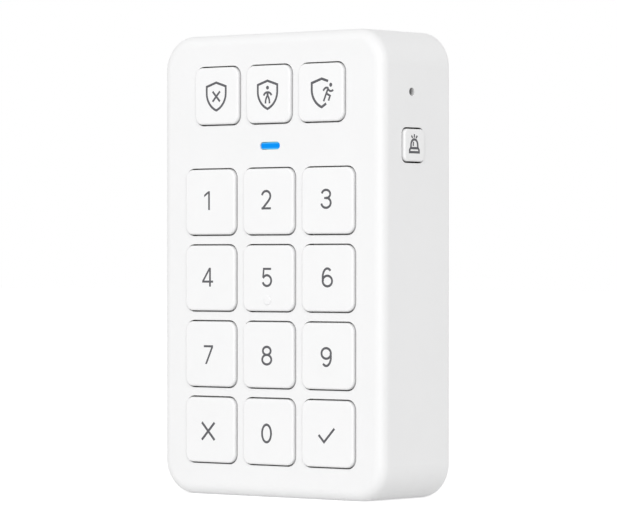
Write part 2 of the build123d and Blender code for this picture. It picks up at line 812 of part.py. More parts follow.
# --- Battery door -----------------------------------------------------------------------------------
# A plate whose lower edge is rounded about the hinge, so that it turns within its opening.
door_tongue_z = bay_top - door_tongue_setback - door_tongue_thickness / 2
with BuildPart() as battery_door:
    with BuildSketch(Plane.YZ.offset(-door_width / 2)):
        with Locations((-hinge_level, (hinge_z + door_top) / 2)):
            Rectangle(door_thickness, door_top - hinge_z)
        with Locations((-hinge_level, hinge_z)):
            Circle(door_thickness / 2)
    extrude(amount=door_width)
    with BuildSketch(Plane.YZ.offset(-door_width / 2 - door_pin_length)):
        with Locations((-hinge_level, hinge_z)):
            Circle(door_pin_diameter / 2)
    extrude(amount=door_width + 2 * door_pin_length)
    with BuildSketch(Plane.YZ.offset(-door_tongue_width / 2)):
        with Locations((-door_inside - door_tongue_length / 2, door_tongue_z)):
            Rectangle(door_tongue_length, door_tongue_thickness)
    extrude(amount=door_tongue_width)
    with BuildSketch(level(cover_level)):
        with Locations((0, door_top - door_grip_inset)):
            with GridLocations(door_grip_pitch, door_grip_pitch, 1, door_grip_grooves):
                Rectangle(door_grip_length, door_grip_width)
    extrude(amount=door_grip_depth, mode=Mode.SUBTRACT)
save(battery_door.part, "battery_door")

with BuildPart() as door_pad:
    with BuildSketch(level(door_inside)):
        with Locations((0, bay_middle)):
            Rectangle(pad_length, pad_width)
    extrude(amount=pad_thickness)
save(door_pad.part, "door_pad")

# --- Wall bracket -----------------------------------------------------------------------------------
bracket_middle = (bracket_top + bracket_bottom) / 2
hook_head_level = recess_inside + hook_play
with BuildPart() as wall_bracket:
    with BuildSketch(level(0)):
        with Locations((0, bracket_middle)):
            RectangleRounded(bracket_width, bracket_height, bracket_corner)
        with Locations((tamper_x, tamper_z + bracket_slide / 2)):
            Rectangle(
                tamper_diameter + 2 * tamper_window_gap,
                tamper_diameter + bracket_slide + 2 * tamper_window_gap,
                mode=Mode.SUBTRACT,
            )
    extrude(amount=bracket_thickness)
    outline = wall_bracket.faces().sort_by(Axis.Y)[0].outer_wire().edges()
    chamfer(outline, bracket_chamfer)
    with Locations(level(bracket_thickness)):
        with Locations(*wall_screw_places):
            CounterSinkHole(
                wall_screw_diameter / 2, wall_screw_head_diameter / 2, counter_sink_angle=90
            )
    with BuildSketch(level(bracket_thickness)):
        with Locations(*hook_places):
            Rectangle(hook_stem_width, hook_height)
    extrude(amount=hook_head_level - bracket_thickness)
    with BuildSketch(level(hook_head_level)):
        with Locations(*hook_places):
            Rectangle(hook_head_width, hook_height)
    extrude(amount=hook_head_thickness)
save(wall_bracket.part, "wall_bracket")

# --- Tamper plunger: sprung out through the bracket until the wall presses it flush ---------------------
tamper_place = (tamper_x, tamper_z)
with BuildPart() as tamper_plunger:
    with BuildSketch(level(-tamper_travel)):
        with Locations(tamper_place):
            Circle(tamper_diameter / 2)
    extrude(amount=tamper_flange_level + tamper_travel)
    fillet(tamper_plunger.faces().sort_by(Axis.Y)[-1].edges(), tamper_tip_radius)
    with BuildSketch(level(tamper_flange_level)):
        with Locations(tamper_place):
            Circle(tamper_flange_diameter / 2)
    extrude(amount=flange_thickness)
    with BuildSketch(level(tamper_flange_end)):
        with Locations(tamper_place):
            Circle(tamper_tail_diameter / 2)
    extrude(amount=tamper_stem_level - tamper_travel - dome_play - tamper_flange_end)
save(tamper_plunger.part, "tamper_plunger")

with BuildPart() as tamper_switch:
    with BuildSketch(level(board_rear)):
        with Locations(tamper_place):
            Rectangle(tamper_switch_size, tamper_switch_size)
    extrude(amount=-tamper_switch_height)
    with BuildSketch(level(tamper_switch_level)):
        with Locations(tamper_place):
            Circle(tamper_stem_diameter / 2)
    extrude(amount=-tamper_stem_height)
save(tamper_switch.part, "tamper_switch")

tamper_spring_length = tamper_switch_level - tamper_flange_end - tamper_spring_wire
tamper_spring_radius = (tamper_tail_diameter + tamper_spring_wire) / 2 + tamper_spring_play
with BuildPart() as tamper_spring:
    with BuildLine() as spring_path:
        Helix(
            pitch=tamper_spring_length / tamper_spring_turns,
            height=tamper_spring_length,
            radius=tamper_spring_radius,
            center=(tamper_x, -tamper_flange_end - tamper_spring_wire / 2, tamper_z),
            direction=(0, -1, 0),
        )
    with BuildSketch(spring_path.line ^ 0):
        RegularPolygon(tamper_spring_wire / 2, 6)
    sweep(path=spring_path.line, is_frenet=True)
save(tamper_spring.part, "tamper_spring")
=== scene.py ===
"""The looks of a wireless alarm keypad: materials, printed legends, soft pieces, studio light and camera."""

import math

import bmesh
import bpy
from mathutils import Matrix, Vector
from mathutils.geometry import delaunay_2d_cdt


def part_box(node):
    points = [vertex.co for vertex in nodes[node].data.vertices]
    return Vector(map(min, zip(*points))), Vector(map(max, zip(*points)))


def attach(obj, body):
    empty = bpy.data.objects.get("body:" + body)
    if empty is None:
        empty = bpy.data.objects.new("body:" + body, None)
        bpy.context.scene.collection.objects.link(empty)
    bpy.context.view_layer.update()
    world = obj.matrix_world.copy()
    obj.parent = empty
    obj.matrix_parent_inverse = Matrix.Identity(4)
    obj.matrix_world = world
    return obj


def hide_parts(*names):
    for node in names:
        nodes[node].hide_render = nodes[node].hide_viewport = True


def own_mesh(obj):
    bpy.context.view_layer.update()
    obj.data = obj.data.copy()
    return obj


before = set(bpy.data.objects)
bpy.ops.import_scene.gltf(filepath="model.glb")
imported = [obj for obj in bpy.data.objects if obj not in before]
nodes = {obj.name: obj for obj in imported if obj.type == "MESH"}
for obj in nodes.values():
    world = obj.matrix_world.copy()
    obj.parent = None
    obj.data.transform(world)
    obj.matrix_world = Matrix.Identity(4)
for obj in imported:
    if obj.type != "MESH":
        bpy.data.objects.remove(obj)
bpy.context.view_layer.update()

MM = 0.001
KEYS = sorted(name for name in nodes if name.startswith("key_"))
SHELL_LOW, SHELL_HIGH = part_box("front_shell")

# --- Material building blocks ---------------------------------------------------------------


class Shader:
    """A Principled material whose textures follow the object's own coordinates, in metres."""

    def __init__(self, name, color, roughness):
        self.material = bpy.data.materials.new(name)
        self.material.use_nodes = True
        self.tree = self.material.node_tree
        self.bsdf = self.tree.nodes["Principled BSDF"]
        self.coordinates = self.node("ShaderNodeTexCoord").outputs["Object"]
        self.color = color
        self.roughness = roughness
        self.set(Base_Color=(*color, 1), Roughness=roughness)

    def set(self, **values):
        """Constants on the shader's own sockets, such as Metallic or Coat_Weight."""
        for key, value in values.items():
            self.bsdf.inputs[key.replace("_", " ")].default_value = value
        return self

    def node(self, kind, **values):
        made = self.tree.nodes.new(kind)
        for key, value in values.items():
            setattr(made, key, value)
        return made

    def link(self, source, target):
        self.tree.links.new(source, target)

    def math(self, operation, *values):
        """A math node over sockets and numbers."""
        made = self.node("ShaderNodeMath", operation=operation)
        for socket, value in zip(made.inputs, values):
            if isinstance(value, bpy.types.NodeSocket):
                self.link(value, socket)
            else:
                socket.default_value = value
        return made.outputs["Value"]

    def remap(self, value, start, end, low, high, **settings):
        """value from start..end mapped to low..high, and held there beyond."""
        mapped = self.node("ShaderNodeMapRange", **settings)
        for socket, number in zip(("From Min", "From Max", "To Min", "To Max"), (start, end, low, high)):
            mapped.inputs[socket].default_value = number
        self.link(value, mapped.inputs["Value"])
        return mapped.outputs["Result"]

    def place(self):
        """The X, Y and Z of the point that is shaded."""
        split = self.node("ShaderNodeSeparateXYZ")
        self.link(self.coordinates, split.inputs["Vector"])
        return split.outputs

    def noise(self, size, detail=2.0, stretch=(1, 1, 1)):
        """Noise about 0.5 whose features are about size millimetres across."""
        mapping = self.node("ShaderNodeMapping")
        mapping.inputs["Scale"].default_value = stretch
        self.link(self.coordinates, mapping.inputs["Vector"])
        noise = self.node("ShaderNodeTexNoise")
        noise.inputs["Scale"].default_value = 1 / (size * MM)
        noise.inputs["Detail"].default_value = detail
        self.link(mapping.outputs["Vector"], noise.inputs["Vector"])
        return noise.outputs["Fac"]

    def spread(self, factor, low, high):
        """factor, which lies about 0.5, mapped to low..high."""
        return self.remap(factor, 0.3, 0.7, low, high)

    def tone(self, factor):
        """Multiply the colour by factor."""
        base = self.bsdf.inputs["Base Color"]
        scaled = self.node("ShaderNodeVectorMath", operation="SCALE")
        scaled.inputs[0].default_value = self.color
        if base.is_linked:
            self.link(base.links[0].from_socket, scaled.inputs[0])
        self.link(factor, scaled.inputs["Scale"])
        self.link(scaled.outputs["Vector"], base)
        return self

    def mottle(self, size, amount):
        """The colour varies by amount, over patches of size millimetres."""
        return self.tone(self.spread(self.noise(size), 1 - amount, 1 + amount))

    def uneven(self, size, amount):
        """The roughness varies by amount, over patches of size millimetres."""
        low, high = self.roughness - amount, self.roughness + amount
        self.link(self.spread(self.noise(size), low, high), self.bsdf.inputs["Roughness"])
        return self

    def bump(self, height, depth):
        """A bump of depth millimetres from a 0..1 height."""
        normal = self.bsdf.inputs["Normal"]
        bump = self.node("ShaderNodeBump")
        bump.inputs["Distance"].default_value = depth * MM
        self.link(height, bump.inputs["Height"])
        if normal.is_linked:
            self.link(normal.links[0].from_socket, bump.inputs["Normal"])
        self.link(bump.outputs["Normal"], normal)
        return self

    def grain(self, size, depth, detail=2.0, stretch=(1, 1, 1)):
        """The fine texture of the mould or of the process."""
        return self.bump(self.noise(size, detail, stretch), depth)

    def paint_gap_shade(self, axis, start, end, tone, **limits):
        """Painted shade: the colour falls to tone along axis, from start to end, within limits such as X=(low,
        high).
        """
        place = self.place()
        # painted shade, deepest at end
        painted_shade = self.remap(place[axis], start, end, 0.0, 1 - tone)
        for side, (low, high) in limits.items():
            inside = self.math("COMPARE", place[side], (low + high) / 2, (high - low) / 2)
            painted_shade = self.math("MULTIPLY", painted_shade, inside)
        return self.tone(self.math("SUBTRACT", 1.0, painted_shade))


def dress(shader, *names):
    """Give CAD nodes this material."""
    for name in names:
        slots = nodes[name].data.materials
        slots.clear()
        slots.append(shader.material)


# --- White plastics -------------------------------------------------------------------------
FRONT, SIDE = SHELL_LOW.y, SHELL_HIGH.x  # the levels of the housing's front and right-hand side
WALL_REACH = 2.2 * MM  # from an outer face to just behind the wall's inner one


def moulded_white(name, color, roughness, patch):
    """White plastic with the mould's fine texture."""
    shader = Shader(name, color, roughness).mottle(patch, 0.006)
    return shader.uneven(patch / 3, 0.03).grain(0.2, 0.005)


def housing_white(name):
    return moulded_white(name, (0.87, 0.87, 0.872), 0.42, 14).grain(9, 0.01)


def cap_white(name):
    return moulded_white(name, (0.885, 0.885, 0.887), 0.38, 7)


def shell_white():
    """The housing's plastic, with painted shade on the walls of its openings, darker deeper in."""
    key_field = {"X": (-28 * MM, 28 * MM), "Y": (FRONT, FRONT + WALL_REACH), "Z": (-50 * MM, 50 * MM)}
    side_wall = {"X": (SIDE - WALL_REACH, SIDE), "Y": (FRONT + 4 * MM, -4 * MM)}
    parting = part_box("panic_button")[1].z + 2 * MM  # between the side button and the sound port
    straight = 45 * MM  # the side is straight up to here
    shader = housing_white("shell_plastic")
    # painted shade on the walls of the key openings, darker deeper in
    shader.paint_gap_shade("Y", FRONT + 0.3 * MM, FRONT + 0.8 * MM, 0.25, **key_field)
    # painted shade on the walls of the side button's opening
    shader.paint_gap_shade("X", SIDE - 0.2 * MM, SIDE - 0.7 * MM, 0.12, Z=(-straight, parting), **side_wall)
    # painted shade down the wall of the sound port, darker deeper in
    return shader.paint_gap_shade("X", SIDE - 0.1 * MM, SIDE - 1.5 * MM, 0.2, Z=(parting, straight), **side_wall)


plain_cap = cap_white("plain_cap_plastic")
# painted shade: the keys darken along their side walls, from near their faces down into the gaps
keycap = cap_white("keycap_plastic").paint_gap_shade("Y", FRONT - 0.85 * MM, FRONT + 1.6 * MM, 0.62)
# painted shade: the side button's walls darken inside its opening
side_cap = cap_white("side_cap_plastic").paint_gap_shade("X", SIDE - 0.1 * MM, SIDE - 0.6 * MM, 0.05)

dress(shell_white(), "front_shell")
dress(housing_white("housing_plastic"), "rear_cover", "battery_door")
dress(keycap, *KEYS)
dress(side_cap, "panic_button")

# --- Other materials ------------------------------------------------------------------------
bracket_plastic = Shader("bracket_plastic", (0.83, 0.83, 0.825), 0.5)
bracket_plastic.mottle(12, 0.01).uneven(4, 0.05).grain(0.3, 0.01)
led_body = Shader("led_package", (0.72, 0.7, 0.62), 0.45).mottle(0.6, 0.03).grain(0.2, 0.004)
silicone = Shader("grey_silicone", (0.42, 0.43, 0.44), 0.6)
silicone.mottle(5, 0.03).uneven(2, 0.05).grain(0.25, 0.01).set(Sheen_Weight=0.2)
foam = Shader("black_foam", (0.03, 0.03, 0.032), 0.95).mottle(0.5, 0.25)
foam.grain(0.35, 0.15, detail=4)
plunger_plastic = Shader("plunger_plastic", (0.05, 0.05, 0.052), 0.4)
plunger_plastic.mottle(2, 0.05).uneven(1, 0.05).grain(0.2, 0.005)
packaged = Shader("moulded_package", (0.028, 0.028, 0.03), 0.55)
packaged.mottle(1.5, 0.1).uneven(1, 0.08).grain(0.12, 0.01)
tin = Shader("tinned_sheet", (0.62, 0.62, 0.6), 0.32).set(Metallic=1.0)
tin.mottle(2, 0.04).uneven(1.5, 0.08).grain(0.1, 0.004, stretch=(1, 1, 12))
copper = Shader("enamelled_copper", (0.62, 0.27, 0.12), 0.25).set(Metallic=1.0, Coat_Weight=0.6)
copper.mottle(1.5, 0.08).uneven(1, 0.05)
spring_steel = Shader("spring_steel", (0.56, 0.56, 0.57), 0.24).set(Metallic=1.0)
spring_steel.mottle(1, 0.05).uneven(0.6, 0.06)
nickel = Shader("nickel_plate", (0.66, 0.63, 0.57), 0.22).set(Metallic=1.0)
nickel.mottle(2, 0.04).uneven(1, 0.06).grain(0.1, 0.003, stretch=(1, 8, 1))
zinc = Shader("zinc_screw", (0.55, 0.56, 0.58), 0.3).set(Metallic=1.0)
zinc.mottle(0.8, 0.06).uneven(0.5, 0.07).grain(0.1, 0.004)
ink = Shader("printed_ink", (0.078, 0.078, 0.087), 0.45)
ink.mottle(0.8, 0.08).uneven(0.5, 0.06).grain(0.1, 0.003)


def solder_mask():
    """Green lacquer over copper: straight tracks show as slightly lighter, raised lines."""
    shader = Shader("solder_mask", (0.012, 0.11, 0.045), 0.3)
    tracks = shader.node("ShaderNodeTexBrick", offset=0.5, squash=1.0)
    for socket, value in (
        ("Scale", 1.0),
        ("Brick Width", 7 * MM),
        ("Row Height", 1.3 * MM),
        ("Mortar Size", 0.16 * MM),
        ("Mortar Smooth", 0.2),
        ("Color1", (0, 0, 0, 1)),
        ("Color2", (0, 0, 0, 1)),
        ("Mortar", (1, 1, 1, 1)),
    ):
        tracks.inputs[socket].default_value = value
    place = shader.place()
    across = shader.node("ShaderNodeCombineXYZ")
    shader.link(place["X"], across.inputs["X"])
    shader.link(place["Z"], across.inputs["Y"])
    shader.link(across.outputs["Vector"], tracks.inputs["Vector"])
    shader.tone(shader.spread(tracks.outputs["Color"], 1.0, 2.2))
    shader.uneven(3, 0.05).bump(tracks.outputs["Color"], 0.03)
    return shader.set(Coat_Weight=0.5, Coat_Roughness=0.1)


def cell_film(name, negative_end, positive_end):
    """A printed film sleeve: dark, with a coloured band at the positive end and bare metal at both ends."""
    metal, film, line, band = (0.6, 0.6, 0.58), (0.03, 0.032, 0.036), (0.62, 0.63, 0.64), (0.12, 0.3, 0.5)
    shader = Shader(name, film, 0.28)
    bands = shader.node("ShaderNodeValToRGB")
    bands.color_ramp.interpolation = "CONSTANT"
    stops = bands.color_ramp.elements
    stops[0].color = (*metal, 1)
    stops[1].position = 0.006
    stops[1].color = (*film, 1)
    for position, color in ((0.74, line), (0.75, band), (0.965, metal)):
        stops.new(position).color = (*color, 1)
    along = shader.remap(shader.place()["X"], negative_end, positive_end, 0.0, 1.0)
    shader.link(along, bands.inputs["Fac"])
    shader.link(bands.outputs["Color"], shader.bsdf.inputs["Base Color"])
    shader.uneven(4, 0.03).grain(0.4, 0.0004)
    return shader.set(Coat_Weight=0.4, Coat_Roughness=0.15)


def lit_lens():
    """A lit diffuser whose glow is paler along its upper and lower edges: painted light for its glow spilling
    onto the walls of its opening.
    """
    low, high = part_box("status_lens")
    shader = Shader("lit_lens", (0.0, 0.19, 0.72), 0.5)
    distance = shader.math("ABSOLUTE", shader.math("SUBTRACT", shader.place()["Z"], (low.z + high.z) / 2))
    # painted light: the glow turns paler towards the upper and lower edges
    edge = shader.remap(distance, 0.4 * MM, 0.85 * MM, 0.0, 1.0, interpolation_type="SMOOTHSTEP")
    glow = shader.node("ShaderNodeMix", data_type="RGBA")
    middle_color, spill_color = [socket for socket in glow.inputs if socket.type == "RGBA"]
    middle_color.default_value = (0.0, 0.1, 0.18, 1)
    spill_color.default_value = (0.14, 0.4, 0.3, 1)
    shader.link(edge, glow.inputs["Factor"])
    blended = [socket for socket in glow.outputs if socket.type == "RGBA"][0]
    shader.link(blended, shader.bsdf.inputs["Emission Color"])
    shader.uneven(1, 0.03).grain(0.3, 0.004)
    return shader.set(Emission_Strength=1.0, Specular_IOR_Level=0.05)


dress(bracket_plastic, "wall_bracket")
dress(led_body, "status_led")
dress(silicone, "keypad_mat")
dress(foam, "door_pad", "buzzer_gasket", "rear_gasket")
dress(plunger_plastic, "tamper_plunger", "panic_switch_stem")
dress(packaged, "pcb_chips", "buzzer", "panic_switch", "tamper_switch")
dress(tin, "radio_module")
dress(copper, "antenna")
dress(spring_steel, "tamper_spring")
dress(nickel, "series_contact", "positive_contact", "negative_contact")
dress(zinc, "case_screws", "board_screws")
dress(lit_lens(), "status_lens")
dress(solder_mask(), "main_pcb")
for cell, positive_side in (("battery_upper", 1), ("battery_lower", -1)):
    ends = [corner.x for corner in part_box(cell)]
    dress(cell_film(cell + "_film", *ends[::positive_side]), cell)

# --- New pieces -----------------------------------------------------------------------------


def add_piece(name, mesh, shader, body):
    """A new piece from a bmesh, with the shader's material. It moves with body."""
    data = bpy.data.meshes.new(name)
    mesh.to_mesh(data)
    mesh.free()
    data.materials.append(shader.material)
    piece = bpy.data.objects.new(name, data)
    bpy.context.scene.collection.objects.link(piece)
    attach(piece, body)
    return piece


KEY_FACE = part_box("key_1")[0].y  # key 5 alone reaches further, with its dot


def key_face(node, shift):
    """The plane of a key's face: u to the right, v up, height towards the viewer, in millimetres."""
    low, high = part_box(node)
    x = (low.x + high.x) / 2 + shift[0] * MM
    z = (low.z + high.z) / 2 + shift[1] * MM
    return lambda u, v, height: Vector((x + u * MM, KEY_FACE - height * MM, z + v * MM))


def panic_face(shift):
    """The plane of the side button's face: u towards the wall, v up, height outwards."""
    low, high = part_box("panic_button")
    y = (low.y + high.y) / 2 + shift[0] * MM
    z = (low.z + high.z) / 2 + shift[1] * MM
    return lambda u, v, height: Vector((high.x + height * MM, y + u * MM, z + v * MM))


# --- The raised dot of key 5 ----------------------------------------------------------------
DOT_DROP = -5.4  # from the key's middle to the dot
DOT_PROFILE = [(1.12, -0.02), (1.12, 0.14), (1.08, 0.22), (0.99, 0.28), (0.85, 0.31)]  # radius and height
DOT_SIDES = 48


def raise_dot():
    """A low round pad with a soft rim, over the CAD's plain one."""
    spot = key_face("key_5", (0.0, DOT_DROP))
    turns = [math.radians(360 / DOT_SIDES * i) for i in range(DOT_SIDES)]
    mesh = bmesh.new()
    rings = [
        [mesh.verts.new(spot(radius * math.cos(a), radius * math.sin(a), height)) for a in turns]
        for radius, height in DOT_PROFILE
    ]
    for outer, inner in zip(rings, rings[1:]):
        for i in range(DOT_SIDES):
            j = (i + 1) % DOT_SIDES
            mesh.faces.new((outer[i], outer[j], inner[j], inner[i]))
    mesh.faces.new(rings[-1])
    mesh.faces.new(rings[0])
    bmesh.ops.recalc_face_normals(mesh, faces=mesh.faces[:])
    for face in mesh.faces:
        face.smooth = len(face.verts) == 4
    add_piece("tactile_dot", mesh, plain_cap, "key_5")


raise_dot()

# --- Soft pieces, split from the CAD's mat and spring ---------------------------------------
SHEET = 1.0  # thickness of the mat's sheet
DOME_REACH = 4.4 * MM  # just over the radius of a dome's foot
FLAT = 0.999  # a face with at least this share of its normal along Y lies flat
SMOOTH_BELOW = math.radians(30)


def node_mesh(name):
    """A CAD node's mesh with its corners joined, in the shared frame."""
    mesh = bmesh.new()
    mesh.from_mesh(nodes[name].data)
    mesh.transform(nodes[name].matrix_world)
    bmesh.ops.remove_doubles(mesh, verts=mesh.verts[:], dist=1e-7)
    return mesh


def soft_piece(name, mesh, shader):
    """A piece of the housing with smooth shading but for its sharp edges."""
    for edge in mesh.edges:
        edge.smooth = edge.calc_face_angle(0) < SMOOTH_BELOW
    for face in mesh.faces:
        face.smooth = True
    return add_piece(name, mesh, shader, "housing")


def from_axis(point, center):
    """A point's distance from the line through center along Y."""
    return math.hypot(point.x - center.x, point.z - center.z)


def close_rims(mesh, centers):
    """Join the two open rims round each centre by a wall."""
    for center in centers:
        rims = [
            edge
            for edge in mesh.edges
            if edge.is_boundary and all(from_axis(v.co, center) < DOME_REACH for v in edge.verts)
        ]
        bmesh.ops.bridge_loops(mesh, edges=rims)
    bmesh.ops.recalc_face_normals(mesh, faces=mesh.faces[:])


def soften_mat():
    """The mat as a sheet and fifteen domes, because a dome flattens under its key."""
    centers = {key: sum(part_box(key), Vector()) / 2 for key in KEYS}
    roof, board = [corner.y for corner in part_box("keypad_mat")]
    whole = node_mesh("keypad_mat")

    def dome_of(face):
        """The key whose dome the face belongs to, or None for a face of the sheet."""
        spot = face.calc_center_median()
        off_sheet = min(abs(spot.y - board), abs(spot.y - board + SHEET * MM))
        if abs(face.normal.y) > FLAT and off_sheet < 0.02 * MM:
            return None
        key = min(KEYS, key=lambda k: from_axis(spot, centers[k]))
        return key if all(from_axis(v.co, centers[key]) < DOME_REACH for v in face.verts) else None

    owners = [dome_of(face) for face in whole.faces]
    for key in [None] + KEYS:
        mesh = whole.copy()
        others = [face for face, owner in zip(mesh.faces, owners) if owner != key]
        bmesh.ops.delete(mesh, geom=others, context="FACES")
        close_rims(mesh, [centers[key]] if key else centers.values())
        if key:
            dome = soft_piece("dome_" + key, mesh, silicone)
            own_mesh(dome)
        else:
            sheet = soft_piece("mat_sheet", mesh, silicone)
            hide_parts("keypad_mat")
    whole.free()


def soften_spring():
    """The tamper pin's spring, which shortens towards its switch."""
    spring = soft_piece("pin_spring", node_mesh("tamper_spring"), spring_steel)
    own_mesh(spring)
    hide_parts("tamper_spring")


soften_mat()
soften_spring()

# --- Drawing with flat pieces, in millimetres -----------------------------------------------
STROKE = 0.58


def arc(center, radii, start, end, steps=16):
    """Points on an ellipse from the angle start to end, in degrees."""
    angles = [math.radians(start + (end - start) * i / steps) for i in range(steps + 1)]
    return [(center[0] + radii[0] * math.cos(a), center[1] + radii[1] * math.sin(a)) for a in angles]


def ring(center, radii, steps=36):
    """An ellipse's points, once round."""
    return arc(center, radii, 0, 360 * (steps - 1) / steps, steps - 1)


def curve(p0, p1, p2, p3, steps=12):
    """Points on a cubic curve."""
    points = []
    for i in range(steps + 1):
        t = i / steps
        weights = ((1 - t) ** 3, 3 * t * (1 - t) ** 2, 3 * t * t * (1 - t), t**3)
        points.append(tuple(sum(w * p[k] for w, p in zip(weights, (p0, p1, p2, p3))) for k in (0, 1)))
    return points


def stroke(path, width=STROKE, closed=False):
    """Quads of that width along a path. Neighbours share their corners, and the ends are square."""
    points = [Vector(p) for p in path]
    edges = []
    for i, point in enumerate(points):
        ways = []
        if closed or i > 0:
            ways.append((point - points[i - 1]).normalized())
        if closed or i < len(points) - 1:
            ways.append((points[(i + 1) % len(points)] - point).normalized())
        normals = [Vector((-way.y, way.x)) for way in ways]
        across = sum(normals, Vector((0, 0))).normalized()
        across *= width / 2 / across.dot(normals[0])
        edges.append((point + across, point - across))
    pairs = list(zip(edges, edges[1:] + edges[:1])) if closed else list(zip(edges, edges[1:]))
    return [[a[1], b[1], b[0], a[0]] for a, b in pairs]


# --- Digits ---------------------------------------------------------------------------------
CAP = 2.32  # half the height of a digit
BAR = STROKE - 0.06  # the thickness of a level stroke


def six():
    pieces = stroke(ring((0, -0.87), (1.46, 1.27)), closed=True)
    return pieces + stroke(arc((0, 0), (1.46, 2.14), 48, 206, 24))


def digits():
    """Light, narrow, upright digits with square ends."""
    return {
        "0": stroke(ring((0, 0), (1.43, 2.14)), closed=True),
        "1": [
            [(0.3, -CAP), (0.84, -CAP), (0.84, CAP), (0.3, CAP)],
            [(0.32, CAP), (0.32, 1.74), (-1.0, 0.84), (-1.0, 1.44)],
        ],
        "2": stroke(
            arc((0, 0.96), (1.33, 1.2), 172, -28, 20)
            + curve((1.17, 0.4), (0.9, -0.2), (-0.3, -1.2), (-1.22, 0.1 - CAP))[1:]
        )
        + stroke([(-1.5, BAR / 2 - CAP), (1.5, BAR / 2 - CAP)], BAR),
        "3": stroke(arc((-0.02, 1.16), (1.3, 1.0), 172, -90, 22))
        + stroke(arc((-0.02, -0.95), (1.46, 1.2), 90, -172, 24))
        + stroke([(-0.6, 0.2), (0, 0.2)], BAR),
        "4": [
            [(0.5, -CAP), (1.06, -CAP), (1.06, CAP), (0.5, CAP)],
            [(0.46, CAP), (1.06, CAP), (-1.14, -0.9), (-1.78, -0.9)],
        ]
        + stroke([(-1.78, -1.1), (1.78, -1.1)], BAR),
        "5": stroke([(-1.22, CAP - BAR / 2), (1.36, CAP - BAR / 2)], BAR)
        + stroke([(-1.0, CAP - BAR), (-1.18, -0.08)], BAR)
        + stroke(arc((0.02, -0.8), (1.38, 1.3), 152, -162, 28)),
        "6": six(),
        "7": stroke([(-1.5, CAP - BAR / 2), (1.5, CAP - BAR / 2)], BAR)
        + [[(1.5, CAP - BAR), (0.9, CAP - BAR), (-1.08, -CAP), (-0.5, -CAP)]],
        "8": stroke(ring((0, 1.17), (1.24, 0.98)), closed=True)
        + stroke(ring((0, -0.96), (1.45, 1.17)), closed=True),
        "9": [[(-u, -v) for u, v in piece] for piece in six()],
    }


# --- Pictograms -----------------------------------------------------------------------------


def shield():
    """A shield's outline, anticlockwise from its point at the top."""
    left = [(0, 3.42), (-3.1, 2.45), (-3.1, 0.8)]
    left += curve((-3.1, 0.8), (-3.1, -1.0), (-1.9, -2.7), (0, -3.42), 14)[1:]
    return left + [(-x, y) for x, y in reversed(left[1:-1])]


def open_shield():
    """The left half of the shield's outline, with short ends that turn the corners."""
    outline = shield()
    foot = outline.index(min(outline, key=lambda p: p[1]))
    return [(2.0, 2.8)] + outline[: foot + 1] + [(1.4, -2.6)]


def cross(width, height, thickness):
    """Two crossed strokes that fill a box of that width and height."""
    u, v = width / 2, height / 2
    return stroke([(-u, v), (u, -v)], thickness) + stroke([(-u, -v), (u, v)], thickness)


def standing_figure():
    pieces = [ring((0, 1.74), (0.47, 0.47), 20)]
    pieces += stroke(arc((0.03, -0.3), (1.22, 0.92), 172, 8), 0.52)
    pieces += stroke([(0.03, 0.62), (0.03, -0.5)], 0.62)
    for side in (-1, 1):
        leg = curve((0.03 + side * 0.1, -0.3), (side * 0.5, -0.8), (side * 0.62, -1.3), (side * 0.64, -2.1))
        pieces += stroke(leg, 0.5)
    return pieces


def running_figure():
    pieces = [ring((2.82, 1.88), (0.46, 0.5), 20)]
    for limb in (
        curve((0.5, 0.5), (0.95, 1.2), (1.45, 1.4), (2.1, 1.08)),
        curve((2.0, 1.0), (2.3, 0.3), (2.9, 0.2), (3.62, 0.62)),
        [(2.05, 1.1), (1.35, -0.35), (0.6, -2.05)],
        [(1.5, -0.2), (2.6, -0.75), (2.12, -1.92)],
    ):
        pieces += stroke(limb, 0.5)
    return pieces


def pictograms():
    return {
        "cancel": cross(4.15, 4.3, 0.62),
        "enter": stroke([(-2.42, -0.05), (-0.72, -1.74), (2.5, 1.58)], 0.58),
        "disarm": stroke(shield(), 0.58, closed=True) + cross(2.4, 2.5, 0.54),
        "home": stroke(shield(), 0.58, closed=True) + standing_figure(),
        "away": stroke(open_shield(), 0.62) + running_figure(),
    }


def siren():
    """A beacon on a plinth with three rays above it."""
    dome = [(-1.36, -1.1)] + curve((-1.28, -0.2), (-1.15, 1.4), (1.15, 1.4), (1.28, -0.2), 16) + [(1.36, -1.1)]
    plinth = [(-1.82, -2.08), (-1.82, -1.55), (-1.45, -1.1), (1.45, -1.1), (1.82, -1.55), (1.82, -2.08)]
    pieces = stroke(dome, 0.57) + stroke(plinth, 0.58, closed=True)
    for ray in ([(0, 1.42), (0, 2.26)], [(-0.68, 1.3), (-1.12, 1.92)], [(0.68, 1.3), (1.12, 1.92)]):
        pieces += stroke(ray, 0.47)
    return pieces + stroke([(-0.42, -0.6), (-0.32, 0.45)], 0.44)


# --- Printing -------------------------------------------------------------------------------
INK_RISE = 0.012  # how far the ink stands on the surface
INK_DEPTH = 0.01  # how far it reaches into it

# The print isn't quite central: how far each legend lies to the right of and above its key's middle.
SHIFTS = {
    "disarm": (0.05, -0.15),
    "home": (0.0, -0.18),
    "away": (0.5, -0.2),
    "1": (-0.78, 0.37),
    "2": (-0.42, 0.35),
    "3": (-0.23, 0.4),
    "4": (-0.67, 0.2),
    "5": (-0.22, 0.2),
    "6": (0.17, 0.22),
    "7": (-0.4, -0.19),
    "8": (-0.24, -0.17),
    "9": (-0.2, -0.22),
    "cancel": (-0.47, -0.35),
    "0": (-0.31, -0.4),
    "enter": (-0.15, -0.25),
    "siren": (-0.26, 0.38),
}


